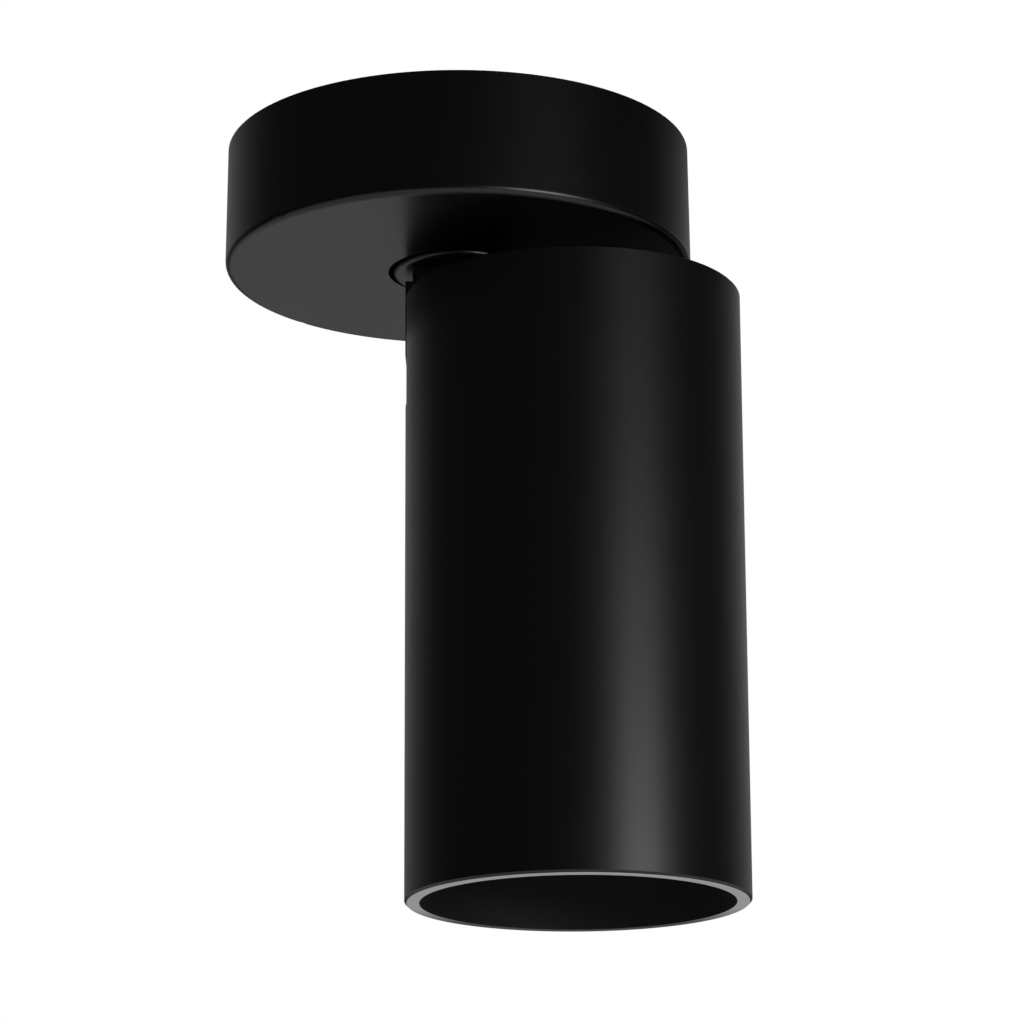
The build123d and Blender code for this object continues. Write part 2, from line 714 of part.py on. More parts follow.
def make_head_lead():
    """From the knuckle's outlet, through the grommet, to the side of the lampholder."""
    holder_side_x = head_offset - lampholder_width / 2
    end_z = lampholder_low_z + 0.45 * lampholder_height
    points = [
        (tongue_half_width, 0, outlet_z),
        (tongue_half_width + lead_loop_reach, 0, outlet_z),
        (tongue_half_width + lead_loop_reach, grommet_y, outlet_z - lead_loop_drop),
        (grommet_x, grommet_y, pivot_z - lead_loop_drop),
        (grommet_x, grommet_y, end_z),
        (holder_side_x, grommet_y, end_z),
    ]
    return lead(points, [lead_bend_radius, *lead_loop_radii, 0.9 * (holder_side_x - grommet_x)])


save("head_tube", make_head_tube())
save("rear_cap", make_rear_cap())
save("cap_pillars", *make_pillars())
save("cap_screws", *make_cap_screws())
save("pillar_screws", *make_pillar_screws())
save("clevis", make_clevis())
save("clevis_screws", *make_clevis_screws())
save("tilt_axle", make_tilt_axle())
save("axle_nut", make_axle_nut())
save("axle_washers", *make_washers(ear_outer_y, axle_washer_thickness, 0.46 * axle_head_diameter))
tilt_washer_y = ear_inner_y - tilt_washer_thickness
save("tilt_washers", *make_washers(tilt_washer_y, tilt_washer_thickness, tilt_washer_diameter / 2))
save("chassis_plate", make_chassis_plate())
save("chassis_screws", *make_chassis_screws())
save("lead_grommet", make_grommet())
save("lampholder_bracket", make_lampholder_bracket())
save("bracket_screws", *make_bracket_screws())
save("lampholder", make_lampholder())
save("lampholder_screws", *make_lampholder_screws())
save("lampholder_contacts", *make_lampholder_contacts())
save("centring_ring", make_centring_ring())
save("head_lead", make_head_lead())


# ---------------------------------------------------------------- lamp
def lamp_shell_radius(rise):
    """Outer radius of the lamp's cone at a height above its front."""
    share = (rise - lamp_rim_height) / (lamp_shell_height - lamp_rim_height)
    return lamp_radius + max(share, 0) * (lamp_neck_diameter / 2 - lamp_radius)


def make_lamp_shell():
    """A cone with a straight rim, open at the front."""
    rim_z = lamp_front_z + lamp_rim_height
    outer_neck = lamp_neck_diameter / 2
    solids = []
    for inset, top_z in ((0, lamp_shell_top_z), (lamp_wall, lamp_shell_top_z - lamp_wall)):
        rim = lamp_radius - inset
        neck = outer_neck - inset
        corners = [(0, lamp_front_z), (rim, lamp_front_z), (rim, rim_z), (neck, top_z), (0, top_z)]
        solids.append(revolve(Plane.XZ * Polygon(*corners, align=None), Axis.Z))
    return Pos(head_offset, 0, 0) * (solids[0] - solids[1])


def make_lamp_base():
    body = upright(lamp_neck_diameter / 2, lamp_shell_top_z, lamp_base_top_z, head_offset)
    return chamfer(body.edges().group_by(Axis.Z)[-1], 1)


def make_lamp_pins():
    pins = []
    for side in (-1, 1):
        y = side * pin_spacing / 2
        shaft = upright(pin_diameter / 2, lamp_base_top_z, pin_tip_z, head_offset, y)
        head = upright(pin_head_diameter / 2, pin_tip_z - pin_head_height, pin_tip_z, head_offset, y)
        pins.append(shaft + head)
    return pins


def make_lamp_lens():
    radius = lamp_radius - lamp_wall - running_clearance
    low = lamp_front_z + lens_recess
    return upright(radius, low, low + lens_thickness, head_offset)


def make_light_board():
    """The round board that carries the light sources, across the cone."""
    radius = lamp_shell_radius(board_rise + board_thickness) - 1.2 * lamp_wall
    low = lamp_front_z + board_rise
    return upright(radius, low, low + board_thickness, head_offset)


save("lamp_shell", make_lamp_shell())
save("lamp_base", make_lamp_base())
save("lamp_pins", *make_lamp_pins())
save("lamp_lens", make_lamp_lens())
save("light_board", make_light_board())
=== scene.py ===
"""A black surface mounted ceiling spotlight, dressed and lit in a pale studio."""

from math import cos, pi, radians, sin

import bmesh
import bpy
from mathutils import Matrix, Vector


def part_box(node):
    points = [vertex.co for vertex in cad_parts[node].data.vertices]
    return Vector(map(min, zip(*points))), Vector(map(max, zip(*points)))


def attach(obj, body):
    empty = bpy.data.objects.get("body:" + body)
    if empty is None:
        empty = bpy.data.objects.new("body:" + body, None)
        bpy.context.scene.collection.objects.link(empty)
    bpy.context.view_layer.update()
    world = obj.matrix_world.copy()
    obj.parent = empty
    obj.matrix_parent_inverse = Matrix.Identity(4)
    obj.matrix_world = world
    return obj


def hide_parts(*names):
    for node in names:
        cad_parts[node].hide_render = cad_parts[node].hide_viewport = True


bl_info = {
    "name": "Ceiling Spotlight",
    "version": (1, 0, 0),
    "blender": (4, 5, 0),
    "location": "View3D > Sidebar > Spotlight",
    "description": "Dresses and lights a surface mounted ceiling spotlight",
    "category": "Object",
}

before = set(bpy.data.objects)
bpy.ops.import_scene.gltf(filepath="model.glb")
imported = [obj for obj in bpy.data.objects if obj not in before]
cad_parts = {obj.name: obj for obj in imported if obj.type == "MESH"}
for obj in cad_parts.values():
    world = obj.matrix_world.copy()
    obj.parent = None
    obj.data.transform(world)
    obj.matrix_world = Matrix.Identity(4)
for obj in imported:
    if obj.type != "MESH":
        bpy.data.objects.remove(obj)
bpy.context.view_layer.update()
MM = 0.001
SHARP_ANGLE = radians(35.0)
CAD_WELD = 0.001 * MM
SPUN_WELD = 0.0005 * MM

# The tube: its wall, the height of its flat rim, how far past its bore the matt finish reaches, and how far
# behind its axis painted shade starts to darken the rim's bare edge and where that shade is full
TUBE_WALL = 2.6 * MM
RIM_HEIGHT = 0.02 * MM
BORE_MARGIN = 0.1 * MM
RIM_SHADE_SPAN = (5.0 * MM, 20.0 * MM)

# A screw, in shares of its shank's radius, but for the edge of a countersunk head
PAN_RADIUS = 1.8
PAN_HEIGHT = 1.1
PAN_ROUNDING = 0.4
PAN_CROWN = 0.1
FLAT_RADIUS = 2.0
FLAT_EDGE = 0.05 * MM
THREAD_PITCH = 0.34
THREAD_ROOT = 0.84
TIP_RADIUS = 0.7
TIP_LENGTH = 0.5
RECESS_WIDTH = 0.3
RECESS_REACH = 1.7
RECESS_DEPTH = 0.9
RECESS_ABOVE = 0.3
RECESS_TAPER = 0.45
SCREW_STEPS = 28
ROUNDING_STEPS = 4

# The lamp: its front, the cups behind it, the light sources and the ribs
LENS_EDGE = 0.3 * MM
LENS_STEPS = 96
CUP_GAP = 0.02 * MM
CUP_TO_BOARD = 1.2 * MM
CUP_NARROWING = 0.62
CUP_CURVE = 1.4
CUP_RINGS = 8
CUP_STEPS = 40
WELL_RADIUS = 0.28
CHIP_HEIGHT = 0.8 * MM
CHIP_BEVEL = 0.15 * MM
BAND_HEIGHT = 4.0 * MM
RIB_START = 1.0 * MM
RIB_HALF = 0.35 * MM
RIB_SUNK = 0.25 * MM

# The studio
FLOOR_RADIUS = 2.5
FLOOR_FADE = (1.3, 2.4)
CAMERA_LENS = 136.95
SENSOR_WIDTH = 36.0
CAMERA_PLACE = (0.009525, -0.66651, -0.25361)
CAMERA_PITCH = radians(105.614)
CAMERA_ROLL = radians(-0.272)


# ---------------------------------------------------------------- shader maths
class Sock:
    """Wraps an output socket, so that sums and products of sockets add their Math nodes."""

    def __init__(self, shader, socket):
        self.shader = shader
        self.socket = socket

    def maths(self, operation, *values):
        return self.shader.node("ShaderNodeMath", {"operation": operation}, dict(enumerate(values)))

    def __add__(self, other):
        return self.maths("ADD", self, other)

    __radd__ = __add__

    def __sub__(self, other):
        return self.maths("SUBTRACT", self, other)

    def __rsub__(self, other):
        return self.maths("SUBTRACT", other, self)

    def __mul__(self, other):
        return self.maths("MULTIPLY", self, other)

    __rmul__ = __mul__

    def __lt__(self, other):
        return self.maths("LESS_THAN", self, other)

    def ramp(self, low, high, start=0.0, end=1.0):
        """Goes evenly from start to end as the value goes from low to high, and stays level outside."""
        return self.shader.node("ShaderNodeMapRange", {}, {
            "Value": self, "From Min": low, "From Max": high, "To Min": start, "To Max": end,
        })


class Shader:
    """A material or world that is built node by node."""

    def __init__(self, owner):
        owner.use_nodes = True
        self.tree = owner.node_tree
        self.tree.nodes.clear()

    def node(self, kind, settings, inputs, output=0):
        """Adds a node: its settings first, then its sockets' values or links. Gives one output."""
        made = self.tree.nodes.new(kind)
        for name, value in settings.items():
            setattr(made, name, value)
        for name, value in inputs.items():
            if isinstance(value, Sock):
                self.tree.links.new(value.socket, made.inputs[name])
            else:
                made.inputs[name].default_value = value
        return None if output is None else Sock(self, made.outputs[output])

    def place(self):
        return self.node("ShaderNodeTexCoord", {}, {}, "Object")

    def axes(self, vector):
        """The X, Y and Z of a vector."""
        split = self.node("ShaderNodeSeparateXYZ", {}, {"Vector": vector})
        outputs = split.socket.node.outputs
        return [Sock(self, outputs[name]) for name in ("X", "Y", "Z")]

    def noise(self, scale, detail, stretch=None):
        vector = self.place()
        if stretch:
            vector = self.node("ShaderNodeMapping", {}, {"Vector": vector, "Scale": stretch})
        return self.node("ShaderNodeTexNoise", {}, {"Vector": vector, "Scale": scale, "Detail": detail})

    def blend(self, share, first, second):
        """A colour between two others."""
        settings = {"data_type": "RGBA", "clamp_factor": True}
        inputs = {0: share, 6: first, 7: second}
        return self.node("ShaderNodeMix", settings, inputs, 2)

    def bump(self, height, distance, strength):
        inputs = {"Height": height, "Distance": distance, "Strength": strength}
        return self.node("ShaderNodeBump", {}, inputs)

    def surface(self, **inputs):
        """A principled surface. Spaces in socket names are written as underscores."""
        named = {name.replace("_", " "): value for name, value in inputs.items()}
        shade = self.node("ShaderNodeBsdfPrincipled", {}, named, "BSDF")
        self.node("ShaderNodeOutputMaterial", {"target": "ALL"}, {"Surface": shade}, None)
        return shade


def grey(level, warmth=0.0):
    return (level + warmth, level, level - warmth, 1.0)


# ---------------------------------------------------------------- finishes
def finish(name):
    material = bpy.data.materials.new(name)
    return material, Shader(material)


def black_lacquer(name, settings, matt, rim_z=None, axis_x=0.0, bore_radius=0.0):
    """Satin black lacquer with a faint orange peel.

    A tube's lacquer is matt inside its bore. Below rim_z it is a bare light edge, with painted shade that
    darkens it towards the back.
    """
    material, shader = finish(name)
    cloud = shader.noise(scale=60.0, detail=3.0)
    peel = shader.noise(scale=2200.0, detail=1.0)
    level = settings.lacquer_level
    colour = shader.blend(cloud, grey(0.8 * level), grey(1.2 * level, warmth=0.0001))
    roughness = matt - 0.03 + 0.06 * cloud
    if rim_z is not None:
        x, y, z = shader.axes(shader.place())
        rim = z.ramp(rim_z, rim_z + RIM_HEIGHT, 1.0, 0.0)
        aside = x - axis_x
        bore = ((aside * aside + y * y) < (bore_radius + BORE_MARGIN) ** 2) * (1.0 - rim)
        roughness = roughness + rim * (settings.rim_roughness - matt)
        roughness = roughness + bore * (settings.bore_roughness - matt)
        # Painted shade: the rim's light grey fades almost to black towards the back of the tube
        painted_back_shade = y.ramp(*RIM_SHADE_SPAN, 1.0, settings.rim_shaded_back)
        colour = shader.blend(rim * painted_back_shade, colour, grey(settings.rim_level))
    shader.surface(Base_Color=colour, Roughness=roughness, IOR=1.5,
                   Normal=shader.bump(peel, distance=0.004 * MM, strength=settings.peel_strength))
    return material


def plated_steel(name, level, roughness, warmth=0.0):
    """Zinc plated steel: cloudy, with faint drawn lines."""
    material, shader = finish(name)
    cloud = shader.noise(scale=220.0, detail=4.0)
    lines = shader.noise(scale=900.0, detail=2.0, stretch=(0.06, 1.0, 1.0))
    colour = shader.blend(cloud, grey(level * 0.86, warmth), grey(level, warmth))
    shader.surface(Base_Color=colour, Metallic=1.0, Roughness=roughness - 0.06 + 0.12 * cloud,
                   Normal=shader.bump(lines, distance=0.006 * MM, strength=0.5))
    return material


def brass(name):
    material, shader = finish(name)
    cloud = shader.noise(scale=400.0, detail=3.0)
    colour = shader.blend(cloud, (0.62, 0.42, 0.16, 1.0), (0.76, 0.56, 0.25, 1.0))
    shader.surface(Base_Color=colour, Metallic=1.0, Roughness=0.24 + 0.12 * cloud)
    return material


def moulded_plastic(name, colour, roughness, grain=1400.0):
    """Moulded plastic or rubber with a spark-eroded grain."""
    material, shader = finish(name)
    cloud = shader.noise(scale=150.0, detail=2.0)
    spark = shader.noise(scale=grain, detail=2.0)
    dark = tuple(0.9 * part for part in colour[:3]) + (1.0,)
    shader.surface(Base_Color=shader.blend(cloud, dark, colour), Roughness=roughness - 0.05 + 0.1 * spark,
                   Normal=shader.bump(spark, distance=0.01 * MM, strength=0.6))
    return material


def braided_sleeve(name):
    """Glass fibre sleeve over a lead: two sets of bands that cross."""
    material, shader = finish(name)
    x, y, z = shader.axes(shader.place())
    settings = {"wave_type": "BANDS", "bands_direction": "DIAGONAL", "wave_profile": "SIN"}
    waves = []
    for sign in (1.0, -1.0):
        turned = shader.node("ShaderNodeCombineXYZ", {}, {"X": x * sign, "Y": y, "Z": z})
        waves.append(shader.node("ShaderNodeTexWave", settings, {"Vector": turned, "Scale": 420.0}, "Fac"))
    weave = waves[0] * waves[1]
    colour = shader.blend(weave, (0.5, 0.49, 0.45, 1.0), (0.82, 0.81, 0.77, 1.0))
    shader.surface(Base_Color=colour, Roughness=0.75,
                   Normal=shader.bump(weave, distance=0.06 * MM, strength=0.8))
    return material


def glazed_ceramic(name):
    material, shader = finish(name)
    cloud = shader.noise(scale=90.0, detail=3.0)
    pits = shader.noise(scale=1600.0, detail=1.0)
    colour = shader.blend(cloud, (0.80, 0.77, 0.70, 1.0), (0.88, 0.86, 0.81, 1.0))
    shader.surface(Base_Color=colour, Roughness=0.42 + 0.1 * pits, Coat_Weight=0.35, Coat_Roughness=0.12,
                   Normal=shader.bump(pits, distance=0.006 * MM, strength=0.5))
    return material


def cast_aluminium(name):
    """Fine blasted aluminium, as on the lamp's body."""
    material, shader = finish(name)
    cloud = shader.noise(scale=120.0, detail=3.0)
    blast = shader.noise(scale=2600.0, detail=1.0)
    colour = shader.blend(cloud, grey(0.58), grey(0.7))
    shader.surface(Base_Color=colour, Metallic=1.0, Roughness=0.36 + 0.1 * blast,
                   Normal=shader.bump(blast, distance=0.008 * MM, strength=0.6))
    return material


def clear_lens(name, roughness):
    material, shader = finish(name)
    ripple = shader.noise(scale=260.0, detail=1.0)
    shader.surface(Base_Color=grey(0.96), Roughness=roughness + 0.02 * ripple, IOR=1.49,
                   Transmission_Weight=1.0)
    return material


def phosphor(name):
    material, shader = finish(name)
    cloud = shader.noise(scale=1500.0, detail=2.0)
    colour = shader.blend(cloud, (0.72, 0.5, 0.08, 1.0), (0.9, 0.7, 0.16, 1.0))
    shader.surface(Base_Color=colour, Roughness=0.5 + 0.1 * cloud)
    return material


# ---------------------------------------------------------------- mesh helpers
def dress(material, *names):
    """Gives a finish to nodes of the model, by their material slots."""
    for name in names:
        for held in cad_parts[name].material_slots:
            held.material = material


def solids_of(name):
    """The lowest and highest corners of each solid in a node, in a steady order."""
    bm = bmesh.new()
    bm.from_mesh(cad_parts[name].data)
    bmesh.ops.remove_doubles(bm, verts=bm.verts, dist=CAD_WELD)
    left = set(bm.verts)
    boxes = []
    while left:
        reached = [left.pop()]
        low = reached[0].co.copy()
        high = low.copy()
        while reached:
            vert = reached.pop()
            low = Vector(map(min, low, vert.co))
            high = Vector(map(max, high, vert.co))
            for edge in vert.link_edges:
                other = edge.other_vert(vert)
                if other in left:
                    left.remove(other)
                    reached.append(other)
        boxes.append((low, high))
    bm.free()
    return sorted(boxes, key=lambda box: tuple(round(part, 6) for part in box[0]))


def turned(bm, profile, steps, centre):
    """Spins a profile of (radius, height) points about an upright axis, and closes its poles."""
    verts = [bm.verts.new((radius, 0.0, height)) for radius, height in profile]
    edges = [bm.edges.new(pair) for pair in zip(verts, verts[1:])]
    bmesh.ops.spin(bm, geom=verts + edges, cent=(0, 0, 0), axis=(0, 0, 1), dvec=(0, 0, 0), angle=2 * pi,
                   steps=steps, use_merge=True, use_normal_flip=False, use_duplicate=False)
    bmesh.ops.remove_doubles(bm, verts=bm.verts, dist=SPUN_WELD)
    bmesh.ops.recalc_face_normals(bm, faces=bm.faces)
    bmesh.ops.translate(bm, verts=bm.verts, vec=centre)


def gather(parts):
    """One bmesh that holds several, each of which is freed."""
    whole = bmesh.new()
    held = bpy.data.meshes.new("held")
    for part in parts:
        part.to_mesh(held)
        part.free()
        whole.from_mesh(held)
    bpy.data.meshes.remove(held)
    return whole


def shade(bm):
    """Smooth faces, with every edge sharp that turns by more than SHARP_ANGLE."""
    for face in bm.faces:
        face.smooth = True
    for edge in bm.edges:
        edge.smooth = edge.calc_face_angle(0.0) < SHARP_ANGLE


def stand(name, bm, material):
    """Makes an object of a bmesh."""
    shade(bm)
    mesh = bpy.data.meshes.new(name)
    bm.to_mesh(mesh)
    bm.free()
    mesh.materials.append(material)
    made = bpy.data.objects.new(name, mesh)
    bpy.context.scene.collection.objects.link(made)
    return made


def seat(made, body, slot, *nodes):
    """Says which body a piece rides on and which nodes it stands for. The slot is not used."""
    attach(made, body)
    if nodes:
        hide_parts(*nodes)
    return made


def cut(made, cutter):
    """Cuts one object out of another and keeps the first."""
    tool = made.modifiers.new("cut", "BOOLEAN")
    tool.operation = "DIFFERENCE"
    tool.solver = "EXACT"
    tool.object = cutter
    depsgraph = bpy.context.evaluated_depsgraph_get()
    mesh = bpy.data.meshes.new_from_object(made.evaluated_get(depsgraph))
    made.modifiers.clear()
    old = made.data
    made.data = mesh
    bpy.data.meshes.remove(old)
    bpy.data.objects.remove(cutter)
    bm = bmesh.new()
    bm.from_mesh(mesh)
    shade(bm)
    bm.to_mesh(mesh)
    bm.free()
    if len(mesh.polygons) < 20:
        raise RuntimeError(f"{made.name} came out empty")


def cross_cutter(places, width, reach, low, high):
    """Two tapered blades for each place, for the cross recess of a screw. The wide ends are at high."""
    blades = []
    for x, y in places:
        for size in ((reach, width), (width, reach)):
            blade = bmesh.new()
            bmesh.ops.create_cube(blade, size=1.0)
            for vert in blade.verts:
                top = vert.co.z > 0
                share = 1.0 if top else RECESS_TAPER
                vert.co.x *= size[0] * (share if size[0] > size[1] else 1.0)
                vert.co.y *= size[1] * (share if size[1] > size[0] else 1.0)
                vert.co.z = high if top else low
            bmesh.ops.recalc_face_normals(blade, faces=blade.faces)
            bmesh.ops.translate(blade, verts=blade.verts, vec=(x, y, 0))
            blades.append(blade)
    return blades


def screw_profile(head_radius, length, countersunk):
    """A screw's outline from the middle of its head down to the middle of its tip, and its shank's radius."""
    if countersunk:
        shank = head_radius / FLAT_RADIUS
        height = shank
        profile = [(0, 0), (head_radius - FLAT_EDGE, 0), (head_radius, -FLAT_EDGE), (shank, -height)]
    else:
        shank = head_radius / PAN_RADIUS
        height = PAN_HEIGHT * shank
        rounding = PAN_ROUNDING * shank
        crown = PAN_CROWN * shank
        profile = [(0, 0), (0.5 * head_radius, -0.2 * crown), (head_radius - rounding, -crown)]
        for step in range(1, ROUNDING_STEPS + 1):
            turn = 0.5 * pi * step / ROUNDING_STEPS
            radius = head_radius - rounding * (1 - sin(turn))
            profile.append((radius, -crown - rounding * (1 - cos(turn))))
        profile += [(head_radius, -height), (shank, -height)]
    pitch = THREAD_PITCH * shank
    depth = -height - 0.6 * pitch
    while depth - pitch > -length + TIP_LENGTH * shank:
        profile += [(shank, depth), (THREAD_ROOT * shank, depth - 0.5 * pitch)]
        depth -= pitch
    profile += [(shank, depth), (TIP_RADIUS * shank, -length), (0, -length)]
    return profile, shank


def cross_screws(name, body, material, head_up, countersunk=False):
    """Cross recessed screws of the size and place of the node's solids, with a thread on each shank."""
    way = 1 if head_up else -1
    screws = []
    places = []
    for low, high in solids_of(name):
        middle = (low + high) / 2
        top = high.z if head_up else low.z
        profile, shank = screw_profile((high.x - low.x) / 2, high.z - low.z, countersunk)
        screw = bmesh.new()
        turned(screw, profile, SCREW_STEPS, (0, 0, 0))
        if not head_up:
            bmesh.ops.rotate(screw, verts=screw.verts, cent=(0, 0, 0), matrix=Matrix.Rotation(pi, 3, "X"))
        bmesh.ops.translate(screw, verts=screw.verts, vec=(middle.x, middle.y, top))
        screws.append(screw)
        places.append((middle.x, middle.y))
    made = stand(name + "_cross", gather(screws), material)
    ends = (top - way * RECESS_DEPTH * shank, top + way * RECESS_ABOVE * shank)
    blades = cross_cutter(places, RECESS_WIDTH * shank, RECESS_REACH * shank, *ends)
    for one_way in (blades[0::2], blades[1::2]):
        cut(made, stand("blades", gather(one_way), material))
    return seat(made, body, "steel_screw", name)


# ---------------------------------------------------------------- what a user may change
class SpotlightFinishes(bpy.types.PropertyGroup):
    lacquer_level: bpy.props.FloatProperty(
        name="Lacquer level", description="How light the black lacquer is", default=0.0008, min=0.0, max=1.0)
    lacquer_roughness: bpy.props.FloatProperty(
        name="Lacquer roughness", description="How matt the lacquer is", default=0.33, subtype="FACTOR")
    canopy_roughness: bpy.props.FloatProperty(
        name="Canopy roughness", description="How matt the canopy's lacquer is",
        default=0.29, subtype="FACTOR")
    peel_strength: bpy.props.FloatProperty(
        name="Orange peel", description="Strength of the lacquer's orange peel",
        default=0.25, subtype="FACTOR")
    bore_roughness: bpy.props.FloatProperty(
        name="Bore roughness", description="How matt the lacquer inside the tube is",
        default=0.7, subtype="FACTOR")
    rim_roughness: bpy.props.FloatProperty(
        name="Mouth rim roughness", description="How matt the turned edge of the mouth is", default=0.4,
        subtype="FACTOR")
    rim_level: bpy.props.FloatProperty(
        name="Mouth rim level", description="How light the turned edge of the mouth is", default=0.5)
    # Painted shade: how much of the rim's light grey is left at the back of the tube
    rim_shaded_back: bpy.props.FloatProperty(
        name="Mouth rim at the back", description="How much of the rim's brightness is left at its back",
        default=0.03, subtype="FACTOR")


class SpotlightLamp(bpy.types.PropertyGroup):
    optic_count: bpy.props.IntProperty(
        name="Outer optics", description="How many optics stand round the middle one",
        default=6, min=3, max=9)
    optic_circle: bpy.props.FloatProperty(
        name="Optic circle", description="Radius of the circle of outer optics",
        default=13.2 * MM, unit="LENGTH")
    optic_radius: bpy.props.FloatProperty(
        name="Optic radius", description="Radius of each optic at the front", default=6.3 * MM, unit="LENGTH")
    chip_size: bpy.props.FloatProperty(
        name="Chip size", description="Side of each light source", default=2.8 * MM, unit="LENGTH")
    rib_count: bpy.props.IntProperty(
        name="Cooling ribs", description="How many ribs stand on the lamp's cone", default=30, min=8, max=60)
    rib_height: bpy.props.FloatProperty(
        name="Rib height", description="How far a rib stands out", default=0.9 * MM, unit="LENGTH")


class SpotlightStudio(bpy.types.PropertyGroup):
    key_azimuth: bpy.props.FloatProperty(
        name="Key direction", description="How far the key light is to the right of the camera",
        default=radians(41.0), subtype="ANGLE")
    key_distance: bpy.props.FloatProperty(
        name="Key distance", description="From the spotlight to the key light", default=1.25, unit="LENGTH")
    key_width: bpy.props.FloatProperty(
        name="Key width", description="Width of the key light's bright middle", default=0.6, unit="LENGTH")
    halo_width: bpy.props.FloatProperty(
        name="Halo width", description="Width of the key light with its soft sides",
        default=1.27, unit="LENGTH")
    key_low: bpy.props.FloatProperty(
        name="Key bottom", description="Height of the key light's lower edge", default=-0.3, unit="LENGTH")
    key_high: bpy.props.FloatProperty(
        name="Key top", description="Height of the key light's upper edge", default=0.03, unit="LENGTH")
    key_level: bpy.props.FloatProperty(
        name="Key level", description="Brightness of the key light's middle", default=8.2)
    halo_level: bpy.props.FloatProperty(
        name="Halo level", description="Brightness of the key light's sides", default=0.8)
    fill_level: bpy.props.FloatProperty(
        name="Fill level", description="Brightness of the room all round", default=0.5)
    floor_drop: bpy.props.FloatProperty(
        name="Floor height", description="Height of the floor", default=-0.75, unit="LENGTH")


# ---------------------------------------------------------------- the pieces
class SpotlightOperator:
    """What the operators share."""

    bl_options = {"REGISTER", "UNDO"}

    @property
    def finishes(self):
        return bpy.context.scene.spotlight_finishes


class SPOTLIGHT_OT_canopy(SpotlightOperator, bpy.types.Operator):
    """Finish the canopy, its bracket and what they hold"""

    bl_idname = "spotlight.canopy"
    bl_label = "Canopy and Bracket"

    def execute(self, context):
        matt = self.finishes.canopy_roughness
        dress(black_lacquer("canopy_lacquer", self.finishes, matt), "canopy")
        zinc = plated_steel("zinc_plate", level=0.62, roughness=0.34, warmth=0.008)
        dress(zinc, "mounting_bracket", "retaining_plate", "earth_tag")
        dress(plated_steel("spring_steel", level=0.45, roughness=0.28), "disc_spring", "stop_pin")
        dress(plated_steel("dark_screw", level=0.06, roughness=0.4), "canopy_screws")
        dress(moulded_plastic("block_plastic", (0.8, 0.79, 0.74, 1.0), roughness=0.5), "terminal_block")
        dress(brass("terminal_brass"), "terminal_screws")
        dress(moulded_plastic("slip_plastic", (0.7, 0.7, 0.68, 1.0), roughness=0.45), "friction_washer")
        return {"FINISHED"}


class SPOTLIGHT_OT_screws(SpotlightOperator, bpy.types.Operator):
    """Stand detailed cross recessed screws in for the plain ones"""

    bl_idname = "spotlight.screws"
    bl_label = "Screws"

    def execute(self, context):
        steel = plated_steel("screw_steel", level=0.56, roughness=0.3, warmth=0.004)
        cross_screws("retaining_screws", "ceiling_base", steel, head_up=True)
        cross_screws("earth_screw", "ceiling_base", steel, head_up=False)
        cross_screws("pillar_screws", "head", steel, head_up=False)
        cross_screws("clevis_screws", "head", steel, head_up=False)
        cross_screws("bracket_screws", "head", steel, head_up=False)
        cross_screws("lampholder_screws", "head", steel, head_up=False)
        black = plated_steel("blackened_steel", level=0.03, roughness=0.42)
        cross_screws("cap_screws", "head", black, head_up=True, countersunk=True)
        return {"FINISHED"}


class SPOTLIGHT_OT_joint(SpotlightOperator, bpy.types.Operator):
    """Finish the knuckle, the clevis, the axle and the leads"""

    bl_idname = "spotlight.joint"
    bl_label = "Swivel and Tilt Joint"

    def execute(self, context):
        matt = self.finishes.lacquer_roughness
        dress(black_lacquer("joint_lacquer", self.finishes, matt), "swivel_knuckle", "clevis")
        blackened = plated_steel("blackened_axle", level=0.04, roughness=0.36)
        dress(blackened, "tilt_axle", "axle_nut", "axle_washers")
        dress(moulded_plastic("washer_plastic", (0.03, 0.03, 0.03, 1.0), roughness=0.5), "tilt_washers")
        dress(braided_sleeve("braided_sleeve"), "canopy_lead", "knuckle_lead", "head_lead")
        return {"FINISHED"}


class SPOTLIGHT_OT_head(SpotlightOperator, bpy.types.Operator):
    """Finish the tube, its chassis, its rear cap and the lampholder"""

    bl_idname = "spotlight.head"
    bl_label = "Head"

    def execute(self, context):
        low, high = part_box("head_tube")
        axis_x = (low.x + high.x) / 2
        bore_radius = (high.x - low.x) / 2 - TUBE_WALL
        matt = self.finishes.lacquer_roughness
        tube = black_lacquer("tube_lacquer", self.finishes, matt, low.z + RIM_HEIGHT, axis_x, bore_radius)
        dress(tube, "head_tube")
        dress(black_lacquer("cap_lacquer", self.finishes, matt), "rear_cap")
        zinc = plated_steel("chassis_zinc", level=0.6, roughness=0.36, warmth=0.006)
        dress(zinc, "chassis_plate", "lampholder_bracket", "cap_pillars")
        dress(plated_steel("grub_steel", level=0.06, roughness=0.4), "chassis_screws")
        rubber = moulded_plastic("black_rubber", (0.02, 0.02, 0.02, 1.0), roughness=0.7, grain=900.0)
        dress(rubber, "lead_grommet")
        dress(moulded_plastic("ring_plastic", (0.012, 0.012, 0.012, 1.0), roughness=0.55), "centring_ring")
        dress(glazed_ceramic("holder_ceramic"), "lampholder")
        dress(brass("contact_brass"), "lampholder_contacts")
        return {"FINISHED"}


